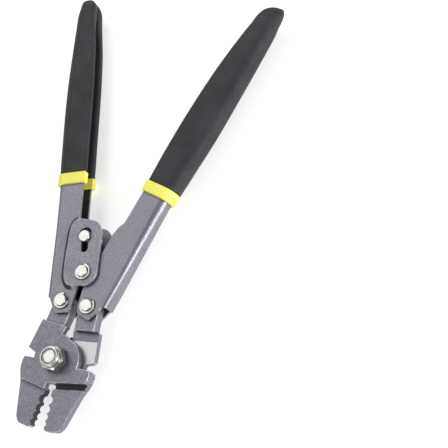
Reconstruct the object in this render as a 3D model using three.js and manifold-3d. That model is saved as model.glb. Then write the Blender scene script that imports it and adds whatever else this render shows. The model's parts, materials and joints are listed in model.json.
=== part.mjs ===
// Compound-lever crimping pliers with side cutters: two identical forged jaws half-lapped on one bolt,
// two sheet-steel channel handles with dipped grips, and a sliding lock pin.
// Millimetres, +Z up. The tool lies flat, nut side up, with its handles towards +Y.
// The origin is on the pivot axis, at the outer face of the bolt head.
// Every shape is drawn about the tool's middle plane, and one group lifts them all by MID_Z.
// The tool is drawn part open: the jaws by OPEN_JAW each, the handles by HANDLE_TILT each.
import * as THREE from "three";
import { mergeVertices } from "three/addons/utils/BufferGeometryUtils.js";
import Module from "manifold-3d";

const wasm = await Module();
wasm.setup();

const DEG = Math.PI / 180;

// ---- Driving dimensions ----
const OPEN_JAW = 6.5 * DEG; // each jaw from closed to the drawn position
const HANDLE_TILT = 14.5 * DEG; // each handle from the tool's centre line, as drawn
const JAW_PIN_CLOSED = [-12.47, 32.6]; // left jaw pin about the pivot, jaws closed
const HANDLE_PIN_Y = 52.4; // pin that joins the two handles, as drawn
const FACE_GAP = 0.1; // between faces that bear on each other
const SIDE_GAP = 0.3; // round pins and between pieces that nest
const CLEAR = 1; // how far a cutting tool reaches past what it cuts

const HUB_HALF = 4.8; // half thickness of the two lapped hubs
const JAW_HALF = 2.5;
const ARM_HALF = 3.7;

const CHANNEL_HALF = 6.0; // half the outside width of a handle channel
const SHEET = 1.8;
const EAR_INNER = CHANNEL_HALF + SIDE_GAP;
const EAR_OUTER = EAR_INNER + 1.85;
const CHANNEL_FROM = -24; // ends of the steel, measured along the handle from the handle pin
const CHANNEL_TOP = 176;
const GRIP_SKIN = 1.5;

const BOLT_R = 4.0; // M8
const HEX_FLATS = 13;
const HEAD_HIGH = 5.3;
const WASHER = { r: 8, high: 1.2 };
const HEX_CORNER = HEX_FLATS / Math.sqrt(3);
const NUT = { hexHigh: 6.6, collarHigh: 2.9, collarR: 6.0 };
const INSERT = { r: 5.2, up: 0.7, below: 0.9, seatGap: 0.1 }; // above the hexagon, and below the collar's top
const MID_Z = HUB_HALF + 2 * FACE_GAP + WASHER.high + HEAD_HIGH;

const PIN_R = 3.5;
const PIN_STICKS_OUT = 2.6; // past the face that its clip bears on
const CLIP = { outer: 4.7, inner: 2.95, groove: 2.7, thick: 1.0, opening: 78 * DEG };
const LOCK = { u: 0.8, top: 24, rest: 22, low: 14.6, wideR: 3.9, narrowR: 2.4 }; // keyhole, and the pin at rest
const LOCK_PIN = { neckR: 2.0, headR: 3.5, headHigh: 1.6, shaftR: 3.0 };
const LOCK_SLEEVE = { outer: 4.6, inner: 3.2, half: 3.9 };
const PIN_CHAMFER = 0.5;

const CRIMPS = [
  // distance from the pivot, radius, and how far the centre lies beyond the jaw's edge
  { at: 22.2, r: 2.4, beyond: 0.5 },
  { at: 27.5, r: 2.15, beyond: 0.6 },
  { at: 31.8, r: 1.85, beyond: 0.6 },
  { at: 35.6, r: 1.7, beyond: 0.6 },
];

// ---- Finishes ----
const finish = (color, roughness, metalness) =>
  new THREE.MeshStandardMaterial({ color, roughness, metalness });
const GREY_COAT = finish(0x85838c, 0.5, 0.6);
const ZINC = finish(0xd8d8d6, 0.25, 1.0);
const BLACK_GRIP = finish(0x38383c, 0.8, 0.0);
const YELLOW = finish(0xfff65a, 0.5, 0.0);
const NYLON = finish(0xe6e6e0, 0.5, 0.0);
const RED = finish(0x7a2028, 0.5, 0.0);

// ---- Solids ----
function solid(geometry) {
  const bare = geometry.clone();
  bare.deleteAttribute("normal");
  bare.deleteAttribute("uv");
  const merged = mergeVertices(bare, 1e-4);
  const vertProperties = new Float32Array(merged.attributes.position.array);
  const triVerts = new Uint32Array(merged.index.array);
  return new wasm.Manifold(new wasm.Mesh({ numProp: 3, vertProperties, triVerts }));
}

const join = (...pieces) => pieces.reduce((sum, piece) => sum.add(piece));
const cut = (body, ...tools) => tools.reduce((left, tool) => left.subtract(tool), body);

function geometryOf(body) {
  const { vertProperties, triVerts } = body.getMesh();
  return new THREE.BufferGeometry()
    .setAttribute("position", new THREE.BufferAttribute(vertProperties, 3))
    .setIndex(new THREE.BufferAttribute(triVerts, 1));
}

function named(name, body, material, mirrored = false) {
  const mesh = new THREE.Mesh(geometryOf(body), material);
  mesh.name = name;
  if (mirrored) mesh.scale.x = -1;
  return mesh;
}

// A closed outline through corners [x, y, radius]; the radius rounds the corner and may be left out.
function outline(corners) {
  const shape = new THREE.Shape();
  const at = (i) => new THREE.Vector2(...corners[(i + corners.length) % corners.length].slice(0, 2));
  corners.forEach(([, , radius = 0], i) => {
    const here = at(i);
    const back = at(i - 1).sub(here);
    const ahead = at(i + 1).sub(here);
    const reach = Math.min(radius, back.length() / 2, ahead.length() / 2);
    const from = here.clone().add(back.setLength(reach));
    const to = here.clone().add(ahead.setLength(reach));
    if (i === 0) shape.moveTo(from.x, from.y);
    else shape.lineTo(from.x, from.y);
    if (reach > 0) shape.quadraticCurveTo(here.x, here.y, to.x, to.y);
  });
  shape.closePath();
  return shape;
}

// Points of an arc, for use inside an outline.
function arc(cx, cy, r, fromDeg, toDeg, steps) {
  return Array.from({ length: steps + 1 }, (_, i) => {
    const a = (fromDeg + ((toDeg - fromDeg) * i) / steps) * DEG;
    return [cx + r * Math.cos(a), cy + r * Math.sin(a)];
  });
}

function plate(shape, z0, z1) {
  const settings = { depth: z1 - z0, bevelEnabled: false, curveSegments: 4 };
  return solid(new THREE.ExtrudeGeometry(shape, settings).translate(0, 0, z0));
}

function rod(x, y, r, z0, z1, sides = 24) {
  const geometry = new THREE.CylinderGeometry(r, r, z1 - z0, sides);
  return solid(geometry.rotateX(Math.PI / 2).translate(x, y, (z0 + z1) / 2));
}

// A turned solid about the Z axis from a profile [r, z] that rises along the outside.
function turned(profile, sides = 24) {
  const points = profile.map(([r, z]) => new THREE.Vector2(r, z));
  return solid(new THREE.LatheGeometry(points, sides).rotateX(Math.PI / 2));
}

const hexPrism = (z0, z1) => rod(0, 0, HEX_CORNER, z0, z1, 6);

// A half profile of a turned pin and its mirror image below the middle plane.
const bothEnds = (half, middle = []) => [...half.map(([r, z]) => [r, -z]).reverse(), ...middle, ...half];

// ---- Jaws: the left one is drawn with the jaws closed, about the pivot ----
const CREST = -FACE_GAP - 0.05; // the tooth edge, just short of the middle

const HUB_OUTLINE = [
  [-20.2, 19.4, 1],
  [-21.2, 1.6, 0.6], // cutter lip
  [-15.5, 0],
  [-15, -2.9],
  [-21.3, -3.7, 1],
  [-21.5, -7.5, 4],
  [-20.4, -11.4, 3],
  [-17.6, -16.5, 0.5],
  [CREST - 0.2, -17.1],
  [-0.5, -13.5, 0.5],
  [23.2, -6.4, 2.5],
  [23.4, -2.4, 2],
  [22.2, 1.2, 0.5],
  ...arc(0, 0, 13.95, 0, 62, 8),
  [-3.9, 15.6],
  [-3.2, 19.8],
];

const ARM_OUTLINE = [
  [-18.5, 18.8],
  [-5.9, 18.8],
  [-5.6, 27.5, 2],
  ...arc(...JAW_PIN_CLOSED, 6.2, -8, 176, 12),
];

const JAW_OUTLINE = [
  [CREST - 0.5, -15.9],
  [-19.8, -15, 0.5],
  [-18, -18.2, 2],
  [-11.2, -36.4, 5],
  [-8.6, -39.2, 2],
  [-1.2, -39.4, 1.2],
  [CREST, -37.9],
  [CREST, -17.2],
];

// A shallow step in the lap face, which clears the other hub's corner as the jaws open.
const RELIEF = { from: 13.4, to: 18.8, left: -30, right: 0, deep: 0.6 };

function jawBody() {
  const reach = HUB_HALF + CLEAR;
  const crimps = CRIMPS.map((c) => rod(c.beyond, -c.at, c.r, -reach, reach));
  const jaw = cut(plate(outline(JAW_OUTLINE), -JAW_HALF, JAW_HALF), ...crimps);
  const hub = plate(outline(HUB_OUTLINE), FACE_GAP, HUB_HALF);
  const arm = plate(outline(ARM_OUTLINE), -ARM_HALF, ARM_HALF);
  const { from, to, left, right, deep } = RELIEF;
  const reliefOutline = outline([[left, from], [right, from], [right, to], [left, to]]);
  const relief = plate(reliefOutline, -CLEAR, FACE_GAP + deep);
  const bolt = rod(0, 0, BOLT_R + SIDE_GAP, -reach, reach);
  const pin = rod(...JAW_PIN_CLOSED, PIN_R + SIDE_GAP, -reach, reach);
  return cut(join(jaw, hub, arm), relief, bolt, pin);
}

// ---- Handles: drawn with the handle pin at the origin, v along the handle and u outwards ----
const rotate = ([x, y], angle) => [
  x * Math.cos(angle) - y * Math.sin(angle),
  x * Math.sin(angle) + y * Math.cos(angle),
];
const leftJawPin = rotate(JAW_PIN_CLOSED, -OPEN_JAW); // as drawn
const JAW_PIN_UV = rotate([-leftJawPin[0], leftJawPin[1] - HANDLE_PIN_Y], HANDLE_TILT);

// Outer edge of the steel and its corner radius, at places along each handle.
const SPINE = {
  left: [
    { v: -24, u: 23.3, r: 2.4 },
    { v: 0, u: 23.1, r: 2.6 },
    { v: 30, u: 22.9, r: 2.8 },
    { v: 56, u: 23.6, r: 3.6 },
    { v: 80, u: 24.5, r: 5.0 },
    { v: 107, u: 25.3, r: 5.9 },
    { v: 130, u: 25.4, r: 5.9 },
    { v: 150, u: 24.8, r: 5.9 },
    { v: 170, u: 24.0, r: 5.9 },
    { v: 198, u: 22.9, r: 5.9 },
  ],
  right: [
    { v: -24, u: 23.7, r: 2.6 },
    { v: 0, u: 23.7, r: 3.0 },
    { v: 30, u: 23.2, r: 4.2 },
    { v: 56, u: 23.0, r: 5.6 },
    { v: 80, u: 23.9, r: 5.9 },
    { v: 107, u: 25.0, r: 5.9 },
    { v: 150, u: 24.7, r: 5.9 },
    { v: 170, u: 24.2, r: 5.9 },
    { v: 198, u: 23.5, r: 5.9 },
  ],
};

// Inner edge of the steel under the grip, from the free end back to the bare steel.
const INNER_EDGE = {
  left: [[12.6, CHANNEL_TOP], [11.4, 168], [9.9, 154], [8.7, 132], [8.1, 114], [7.6, 88], [7.0, 60]],
  right: [[11.5, CHANNEL_TOP], [9.1, 160], [7.4, 144], [6.3, 126], [5.8, 104], [5.8, 84], [5.9, 60]],
};

function spineAt(side, v) {
  const i = Math.max(1, SPINE[side].findIndex((s) => s.v >= v));
  const [a, b] = [SPINE[side][i - 1], SPINE[side][i]];
  const t = (v - a.v) / (b.v - a.v);
  return { v, u: a.u + (b.u - a.u) * t, r: a.r + (b.r - a.r) * t };
}

// The grip's end narrows to a rounded nose.
const NOSE = { stations: [180, 186, 190, 193, 195], from: 176, to: 196.8, narrowing: 4.5 };
const noseAt = (v) => (Math.max(0, v - NOSE.from) / (NOSE.to - NOSE.from)) ** 3;

// A bar along the handle, flat on both sides and rounded along its outer edge.
// It is the steel's own outer shape, grown by `grow`, from v0 to v1, and it reaches in to u = inner.
function bar(side, grow, v0, v1, inner) {
  const ARC_STEPS = 5;
  const LEAST_RADIUS = 0.5;
  const drawn = [...SPINE[side].map((s) => s.v), ...NOSE.stations].sort((a, b) => a - b);
  const stations = [v0, ...drawn.filter((v) => v > v0 + CLEAR && v < v1 - CLEAR), v1];
  const rings = stations.map((v) => {
    const s = spineAt(side, v);
    const half = CHANNEL_HALF + grow - NOSE.narrowing * noseAt(v);
    const r = Math.min(half - 0.02, Math.max(LEAST_RADIUS, s.r + grow));
    const cu = s.u + grow - r;
    const corner = (from, to, cz) => arc(cu, cz, r, from, to, ARC_STEPS);
    return [[inner, -half], ...corner(-90, 0, r - half), ...corner(0, 90, half - r), [inner, half]].map(
      ([u, z]) => new THREE.Vector3(u, v, z),
    );
  });
  return loft(rings);
}

// A closed solid through rings of equal length, capped at both ends.
function loft(rings) {
  const n = rings[0].length;
  const positions = rings.flat().flatMap((p) => p.toArray());
  const index = [];
  for (let k = 0; k + 1 < rings.length; k++)
    for (let i = 0; i < n; i++) {
      const [a, b] = [k * n + i, k * n + ((i + 1) % n)];
      index.push(a, a + n, b, b, a + n, b + n);
    }
  const last = (rings.length - 1) * n;
  for (let i = 1; i + 1 < n; i++) {
    index.push(0, i, i + 1);
    index.push(last, last + i + 1, last + i);
  }
  const geometry = new THREE.BufferGeometry()
    .setAttribute("position", new THREE.Float32BufferAttribute(positions, 3))
    .setIndex(index);
  return solid(geometry);
}

const FAR = 34; // beyond the outer edge of everything on a handle
const WIDE = 12; // more than half the width of everything on a handle
const FLANGE = {
  left: [
    ...INNER_EDGE.left,
    [7.0, 41.3],
    [7.0, 0],
    [4.2, -8.5],
    [7.0, -20.6, 1],
    [8.6, -22.9, 0.8],
    [17.0, -22.9, 1],
    [19.1, -18.6, 1],
    [20.8, -14.2, 1],
    [22.2, -12.4],
    [FAR, -9.2],
    [FAR, CHANNEL_TOP],
  ],
  right: [
    ...INNER_EDGE.right,
    [5.9, 41.3, 1],
    [5.9, 36.4, 1],
    [4.0, 32.6, 1],
    [3.1, 27.9],
    [3.3, 13, 1.5],
    ...arc(0, 0, 6.3, 70, 305, 12),
    [4.2, -7.6],
    [7.0, -18.2, 2],
    [9.4, -22.3, 1],
    [17.9, -22.9, 1],
    [21.0, -14.0, 1],
    [21.3, -12.4],
    [FAR, -9.2],
    [FAR, CHANNEL_TOP],
  ],
};

function channel(side) {
  const inner = -8; // inwards of every flange
  const steel = bar(side, 0, CHANNEL_FROM, CHANNEL_TOP, inner);
  const hollow = bar(side, -SHEET, CHANNEL_FROM - CLEAR, CHANNEL_TOP + CLEAR, inner - CLEAR);
  return cut(steel.intersect(plate(outline(FLANGE[side]), -WIDE, WIDE)), hollow);
}

const bothSides = (shape, near, far) => [plate(shape, near, far), plate(shape, -far, -near)];

// The left handle's ears: the sheet steps outwards and laps over the right handle.
const EAR_OUTLINE = [
  [-9.6, 25, 4],
  ...arc(0, 0.3, 8.9, 188, 262, 6),
  [3.6, -7.6],
  [10.4, -7.4, 4],
  [12.8, -1.3, 2],
  [12.6, 11],
  [11.5, 27.4, 4],
  [9.3, 33.2, 3],
  [5.6, 34.1, 2],
  [-6.6, 31.2, 5],
];
const EAR_POCKET = [
  [-14, -14],
  [3.6, -14],
  [3.6, -6.2],
  [9.4, -6.1, 3],
  [11.5, -1, 2],
  [11.3, 11],
  [10.2, 27, 3],
  [8.2, 31.8, 2],
  [6.6, 32.2],
  [6.6, 40],
  [-14, 40],
];

function keyhole() {
  const { u, top, low, wideR, narrowR } = LOCK;
  const slot = outline([[u - narrowR, low], [u + narrowR, low], [u + narrowR, top], [u - narrowR, top]]);
  const reach = EAR_OUTER + CLEAR;
  return join(
    plate(slot, -reach, reach),
    rod(u, low, narrowR, -reach, reach),
    rod(u, top, wideR, -reach, reach),
  );
}

function leftHandle() {
  const flangeInner = CHANNEL_HALF - SHEET;
  const pocket = bothSides(outline(EAR_POCKET), flangeInner - CLEAR, EAR_INNER);
  const ears = bothSides(outline(EAR_OUTLINE), flangeInner, EAR_OUTER);
  const handlePin = rod(0, 0, PIN_R + SIDE_GAP, -WIDE, WIDE);
  const jawPin = rod(...JAW_PIN_UV, PIN_R + SIDE_GAP, -WIDE, WIDE);
  return cut(join(channel("left"), ...ears), ...pocket, handlePin, jawPin, keyhole());
}

function rightHandle() {
  const HANDLE_PIN_PLAY = 0.35; // this hole takes up what the coupled joints can't follow exactly
  const handlePin = rod(0, 0, PIN_R + SIDE_GAP + HANDLE_PIN_PLAY, -WIDE, WIDE);
  const jawPin = rod(...JAW_PIN_UV, PIN_R + SIDE_GAP, -WIDE, WIDE);
  return cut(channel("right"), handlePin, jawPin);
}

// ---- Dipped grip and its coloured band, both wrapped round the steel ----
const BAND = { from: 58.4, to: 65.7, skin: GRIP_SKIN + 0.2 };
const GRIP_FROM = 66.0;
const GRIP_EDGE = {
  left: [[5.6, GRIP_FROM - 1], [6.1, 88], [6.6, 114], [7.2, 132], [8.4, 154], [10.0, 168]],
  right: [[5.0, GRIP_FROM - 1], [4.3, 84], [4.2, 104], [4.8, 126], [5.9, 144], [7.6, 160], [9.5, 174.5]],
};
const GRIP_TIP = [
  [11.0, 181, 3],
  [12.5, 188.2, 3],
  [16.2, 193.4, 4],
  [20.6, 196.6, 3],
  [24.8, 196.6, 2.5],
  [26.2, 190],
  [FAR, 176],
];
const gripSide = (side) => [...GRIP_EDGE[side], ...GRIP_TIP, [FAR, GRIP_FROM - 1]];
const BAND_EDGE = { left: 5.3, right: 4.8 };

function bandSide(side) {
  const [near, low, high] = [BAND_EDGE[side], BAND.from - 1, BAND.to + 1];
  return [[near, low], [near, high], [FAR, high], [FAR, low]];
}

// A skin round the steel from v0 to v1: over its outside, round its inner edges and down its inside.
// Each tool starts a little further below v0 and further inwards than the one before it.
function wrap(side, edge, skin, v0, v1) {
  const POCKET_GAP = 0.15;
  const INNER_SKIN = 1.0;
  const SOLID_END = 6; // the grip is solid this far short of the steel's end
  const inner = -2; // inwards of every grip
  const below = v0 - 2 * CLEAR;
  const steelTop = CHANNEL_TOP + POCKET_GAP;
  const shell = bar(side, skin, v0, v1, inner).intersect(plate(outline(edge), -WIDE, WIDE));
  const sheetOutside = bar(side, POCKET_GAP, below, steelTop, inner - 2 * CLEAR);
  const sheetInside = bar(side, -SHEET - POCKET_GAP, below - CLEAR, steelTop + CLEAR, inner - 4 * CLEAR);
  const edgeLine = outline([
    ...INNER_EDGE[side].filter(([, v]) => v > v0).map(([u, v]) => [u - POCKET_GAP, v + POCKET_GAP]),
    [INNER_EDGE[side].at(-1)[0] - POCKET_GAP, below],
    [FAR, below],
    [FAR, steelTop],
  ]);
  const sheetPocket = cut(sheetOutside.intersect(plate(edgeLine, -WIDE, WIDE)), sheetInside);
  const spaceSkin = -SHEET - POCKET_GAP - INNER_SKIN;
  const innerSpace = bar(side, spaceSkin, below - 2 * CLEAR, CHANNEL_TOP - SOLID_END, inner - 6 * CLEAR);
  return cut(shell, sheetPocket, innerSpace);
}

const grip = (side) => wrap(side, gripSide(side), GRIP_SKIN, GRIP_FROM, NOSE.to);
const band = (side) => wrap(side, bandSide(side), BAND.skin, BAND.from, BAND.to);

// ---- Pins, clips and the bolt ----
// A pin from -end to end with a groove for a clip just past each bearing face.
function groovedPin(bearing) {
  const end = bearing + PIN_STICKS_OUT;
  const g0 = bearing + FACE_GAP;
  const g1 = g0 + CLIP.thick + FACE_GAP;
  const half = [
    [CLIP.groove, g0],
    [CLIP.groove, g1],
    [PIN_R, g1],
    [PIN_R, end - PIN_CHAMFER],
    [PIN_R - PIN_CHAMFER, end],
    [0, end],
  ];
  return turned(bothEnds(half, [[PIN_R, -g0], [PIN_R, g0]]));
}

function clip(z0) {
  const open = CLIP.opening / 2 / DEG;
  const outer = arc(0, 0, CLIP.outer, open, 360 - open, 20);
  const inner = arc(0, 0, CLIP.inner, 360 - open, open, 16);
  return plate(outline([...outer, ...inner]), z0, z0 + CLIP.thick);
}

function pivotBolt() {
  const under = -HUB_HALF - 2 * FACE_GAP - WASHER.high;
  const BELOW_COLLAR = 0.5;
  const end = HUB_HALF + FACE_GAP + NUT.hexHigh + NUT.collarHigh - BELOW_COLLAR;
  const chamfer = 0.8;
  const blank = turned([
    [0, under - HEAD_HIGH],
    [HEX_CORNER - chamfer, under - HEAD_HIGH],
    [HEX_CORNER, under - HEAD_HIGH + chamfer / 2],
    [HEX_CORNER, under],
    [0, under],
  ]);
  const shank = turned([
    [0, under - CLEAR],
    [BOLT_R, under - CLEAR],
    [BOLT_R, end - chamfer],
    [BOLT_R - chamfer, end],
    [0, end],
  ]);
  return join(blank.intersect(hexPrism(under - HEAD_HIGH - CLEAR, under + CLEAR)), shank);
}

function pivotNut() {
  const z0 = HUB_HALF + FACE_GAP;
  const shoulder = z0 + NUT.hexHigh;
  const top = shoulder + NUT.collarHigh;
  const foot = 0.4; // chamfer at the bearing face
  const slope = 0.9; // height of the slope from the hexagon's corners up to the collar
  const collarChamfer = { wide: 0.7, high: 0.9 };
  const blank = turned([
    [0, z0],
    [HEX_CORNER - foot, z0],
    [HEX_CORNER, z0 + foot],
    [HEX_CORNER, shoulder - slope],
    [NUT.collarR + foot, shoulder],
    [0, shoulder],
  ]);
  const collar = turned([
    [0, shoulder - CLEAR],
    [NUT.collarR, shoulder - CLEAR],
    [NUT.collarR, top - collarChamfer.high],
    [NUT.collarR - collarChamfer.wide, top],
    [0, top],
  ]);
  const seatFrom = shoulder + INSERT.up - INSERT.seatGap;
  const insertSeat = rod(0, 0, INSERT.r + INSERT.seatGap, seatFrom, top + CLEAR);
  const bore = rod(0, 0, BOLT_R + SIDE_GAP, z0 - CLEAR, top + CLEAR);
  return cut(join(blank.intersect(hexPrism(z0 - CLEAR, shoulder + CLEAR)), collar), insertSeat, bore);
}

function nutInsert() {
  const shoulder = HUB_HALF + FACE_GAP + NUT.hexHigh;
  const [z0, z1] = [shoulder + INSERT.up, shoulder + NUT.collarHigh - INSERT.below];
  return cut(rod(0, 0, INSERT.r, z0, z1), rod(0, 0, BOLT_R + SIDE_GAP / 2, z0 - CLEAR, z1 + CLEAR));
}

function boltWasher() {
  const z1 = -HUB_HALF - FACE_GAP;
  const z0 = z1 - WASHER.high;
  return cut(rod(0, 0, WASHER.r, z0, z1), rod(0, 0, BOLT_R + SIDE_GAP, z0 - CLEAR, z1 + CLEAR));
}

// ---- Lock: a necked pin that slides along the keyhole in both ears, and the sleeve on its middle ----
function lockPin() {
  const { neckR, headR, headHigh, shaftR } = LOCK_PIN;
  const head0 = EAR_OUTER + FACE_GAP;
  const head1 = head0 + headHigh;
  const shaft = EAR_INNER - 2 * FACE_GAP;
  const half = [
    [shaftR, shaft],
    [neckR, shaft],
    [neckR, head0],
    [headR, head0],
    [headR, head1 - PIN_CHAMFER],
    [headR - PIN_CHAMFER, head1],
    [0, head1],
  ];
  return turned(bothEnds(half));
}

function lockSleeve() {
  const { outer, inner, half } = LOCK_SLEEVE;
  return cut(rod(0, 0, outer, -half, half), rod(0, 0, inner, -half - CLEAR, half + CLEAR));
}

// ---- Assembly ----
const tool = new THREE.Group();
const middle = new THREE.Group();
middle.position.z = MID_Z;
tool.add(middle);

middle.add(
  named("pivot_bolt", pivotBolt(), ZINC),
  named("bolt_washer", boltWasher(), ZINC),
  named("pivot_nut", pivotNut(), ZINC),
  named("nut_insert", nutInsert(), NYLON),
);

const jaw = jawBody();
const leftJaw = new THREE.Group();
leftJaw.rotation.z = -OPEN_JAW;
leftJaw.add(named("jaw_left", jaw, GREY_COAT));
const rightJaw = new THREE.Group();
rightJaw.rotation.set(0, Math.PI, OPEN_JAW, "ZYX");
rightJaw.add(named("jaw_right", jaw, GREY_COAT));
middle.add(leftJaw, rightJaw);

// Pieces on a handle are drawn for the right side and mirrored for the left.
function handleGroup(side, mirrored, steel, clipTurn) {
  const group = new THREE.Group();
  group.position.y = HANDLE_PIN_Y;
  group.rotation.z = mirrored ? HANDLE_TILT : -HANDLE_TILT;
  const add = (name, body, material, u = 0, v = 0) => {
    const mesh = named(name, body, material, mirrored);
    mesh.position.set(mirrored ? -u : u, v, 0);
    group.add(mesh);
    return mesh;
  };
  add(`handle_${side}`, steel, GREY_COAT);
  add(`grip_${side}`, grip(side), BLACK_GRIP);
  add(`grip_band_${side}`, band(side), YELLOW);
  add(`jaw_pin_${side}`, groovedPin(CHANNEL_HALF), ZINC, ...JAW_PIN_UV);
  const clipZ = CHANNEL_HALF + FACE_GAP + FACE_GAP / 2;
  add(`jaw_pin_clip_${side}_front`, clip(clipZ), ZINC, ...JAW_PIN_UV).rotation.z = clipTurn;
  add(`jaw_pin_clip_${side}_back`, clip(-clipZ - CLIP.thick), ZINC, ...JAW_PIN_UV).rotation.z = clipTurn;
  return { group, add };
}

// How far each clip is turned on its pin, within its handle.
const CLIP_TURN = { jawPinLeft: -149.5 * DEG, jawPinRight: 104.5 * DEG, handlePin: -59.5 * DEG };

const left = handleGroup("left", true, leftHandle(), CLIP_TURN.jawPinLeft);
left.add("handle_pin", groovedPin(EAR_OUTER), ZINC);
const earClipZ = EAR_OUTER + FACE_GAP + FACE_GAP / 2;
left.add("handle_pin_clip_front", clip(earClipZ), ZINC).rotation.z = CLIP_TURN.handlePin;
left.add("handle_pin_clip_back", clip(-earClipZ - CLIP.thick), ZINC).rotation.z = CLIP_TURN.handlePin;
left.add("lock_pin", lockPin(), ZINC, LOCK.u, LOCK.rest);
left.add("lock_sleeve", lockSleeve(), RED, LOCK.u, LOCK.rest);

const right = handleGroup("right", false, rightHandle(), CLIP_TURN.jawPinRight);
middle.add(left.group, right.group);

export default tool;
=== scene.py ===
"""Looks for the compound-lever crimping pliers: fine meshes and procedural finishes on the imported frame.

Shapes are drawn in millimetres in the same local frames as the CAD: a jaw about the pivot with the jaws
closed, and a handle about the handle pin with v along the handle and u outwards. They are then placed in
metres by the frame's own joints and boxes.
"""
import json
import math

import bmesh
import bpy
from mathutils import Matrix, Vector

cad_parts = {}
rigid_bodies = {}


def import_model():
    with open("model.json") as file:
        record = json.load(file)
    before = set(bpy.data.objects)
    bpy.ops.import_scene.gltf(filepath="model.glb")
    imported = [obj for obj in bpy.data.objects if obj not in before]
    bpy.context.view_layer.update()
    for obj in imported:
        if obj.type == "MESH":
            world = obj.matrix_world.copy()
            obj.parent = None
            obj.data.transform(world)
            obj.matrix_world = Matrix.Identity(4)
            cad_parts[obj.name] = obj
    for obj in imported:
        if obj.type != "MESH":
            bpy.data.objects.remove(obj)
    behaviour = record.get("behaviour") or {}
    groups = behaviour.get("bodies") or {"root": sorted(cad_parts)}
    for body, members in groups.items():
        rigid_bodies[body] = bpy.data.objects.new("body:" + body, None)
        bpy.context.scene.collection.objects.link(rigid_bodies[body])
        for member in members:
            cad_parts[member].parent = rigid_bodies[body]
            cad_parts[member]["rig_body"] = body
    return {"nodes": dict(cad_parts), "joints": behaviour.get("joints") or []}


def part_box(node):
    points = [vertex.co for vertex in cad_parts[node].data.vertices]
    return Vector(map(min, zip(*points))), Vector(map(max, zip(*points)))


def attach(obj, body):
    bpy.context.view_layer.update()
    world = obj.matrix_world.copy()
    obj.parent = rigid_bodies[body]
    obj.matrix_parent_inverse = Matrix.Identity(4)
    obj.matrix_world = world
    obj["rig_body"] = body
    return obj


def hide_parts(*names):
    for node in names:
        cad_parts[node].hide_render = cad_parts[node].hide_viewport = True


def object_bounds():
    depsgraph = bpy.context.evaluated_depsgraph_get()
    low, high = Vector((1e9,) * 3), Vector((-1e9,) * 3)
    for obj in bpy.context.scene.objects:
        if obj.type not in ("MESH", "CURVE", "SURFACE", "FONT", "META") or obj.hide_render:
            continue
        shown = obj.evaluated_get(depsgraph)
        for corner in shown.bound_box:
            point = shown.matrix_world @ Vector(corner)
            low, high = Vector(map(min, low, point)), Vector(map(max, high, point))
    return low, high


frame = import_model()
cad_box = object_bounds()

# ---- Places from the frame ----
MM = 0.001
JOINT = {joint["name"]: joint for joint in frame["joints"]}
PIVOT = Vector(JOINT["jaw_hinge"]["pos_m"])


def centre(node):
    """The middle of a node's box, in the row frame."""
    low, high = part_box(node)
    return (low + high) / 2


HANDLE_PIN = Vector((centre("handle_pin").x, centre("handle_pin").y, PIVOT.z))
LOCK_AXIS = Vector(JOINT["lock_slide"]["axis"])
HANDLE_TILT = math.atan2(LOCK_AXIS.x, -LOCK_AXIS.y)


def half_height(node):
    """Half the height of a node that is centred on the tool's middle plane, in millimetres."""
    low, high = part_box(node)
    return (high.z - low.z) / 2 / MM


def heights(node):
    """The bottom and the top of a node above the pivot's middle, in millimetres."""
    return [(corner.z - PIVOT.z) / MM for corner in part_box(node)]


# ---- Dimensions, in millimetres, as in the CAD ----
OPEN_JAW = math.radians(6.5)
FACE_GAP = 0.1
SIDE_GAP = 0.3
HUB_HALF = heights("jaw_left")[1]
JAW_HALF = 2.5
ARM_HALF = 3.7
CHANNEL_HALF = half_height("handle_right")
EAR_OUTER = half_height("handle_left")
EAR_INNER = CHANNEL_HALF + SIDE_GAP
SHEET = 1.8
CORNER = 5.9
GRIP_SKIN = half_height("grip_right") - CHANNEL_HALF
BOLT_R = 4.0
HEX_CORNER = 13 / math.sqrt(3)
HEAD_HIGH = 5.3
WASHER_HIGH = 1.2
WASHER_R = 8.0
PIN_R = 3.5
CLIP_R = 4.7
CLIP_THICK = 1.0
GROOVE_R = 2.7
HANDLE_PIN_PLAY = 0.35
KEYHOLE = {"u": 0.8, "top": 24.0, "low": 14.6, "wide": 3.9, "narrow": 2.4}

# The jaw pin about the pivot and the line of the jaw's crests, with the jaws closed.
JAW_PIN_CLOSED = (-12.47, 32.6)
CREST = -0.15
# Each crimp cavity: distance from the pivot, radius, and how far its centre lies past the centre line.
CRIMPS = ((22.2, 2.4, 0.5), (27.5, 2.15, 0.6), (31.8, 1.85, 0.6), (35.6, 1.7, 0.6))


def on_handle(point):
    """A point in the row frame as (u, v) on the right handle, in millimetres."""
    x = (point.x - HANDLE_PIN.x) / MM
    y = (point.y - HANDLE_PIN.y) / MM
    c = math.cos(HANDLE_TILT)
    s = math.sin(HANDLE_TILT)
    return x * c - y * s, x * s + y * c


JAW_PIN_UV = on_handle(Vector(JOINT["right_handle_hinge"]["pos_m"]))
lock_place = centre("lock_pin")
LOCK_UV = on_handle(Vector((-lock_place.x, lock_place.y, lock_place.z)))


# ---- Outlines ----
def rounded(corners, steps=7):
    """Points of a closed outline through corners (x, y, radius); the radius may be left out."""
    points = []
    for i, corner in enumerate(corners):
        here = Vector(corner[:2])
        back = Vector(corners[i - 1][:2]) - here
        ahead = Vector(corners[(i + 1) % len(corners)][:2]) - here
        radius = corner[2] if len(corner) > 2 else 0
        reach = min(radius, back.length * 0.49, ahead.length * 0.49)
        if reach <= 0:
            points.append(here)
            continue
        start = here + back.normalized() * reach
        end = here + ahead.normalized() * reach
        for k in range(steps + 1):
            t = k / steps
            points.append(start * (1 - t) ** 2 + here * (2 * t * (1 - t)) + end * t * t)
    return points


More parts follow.
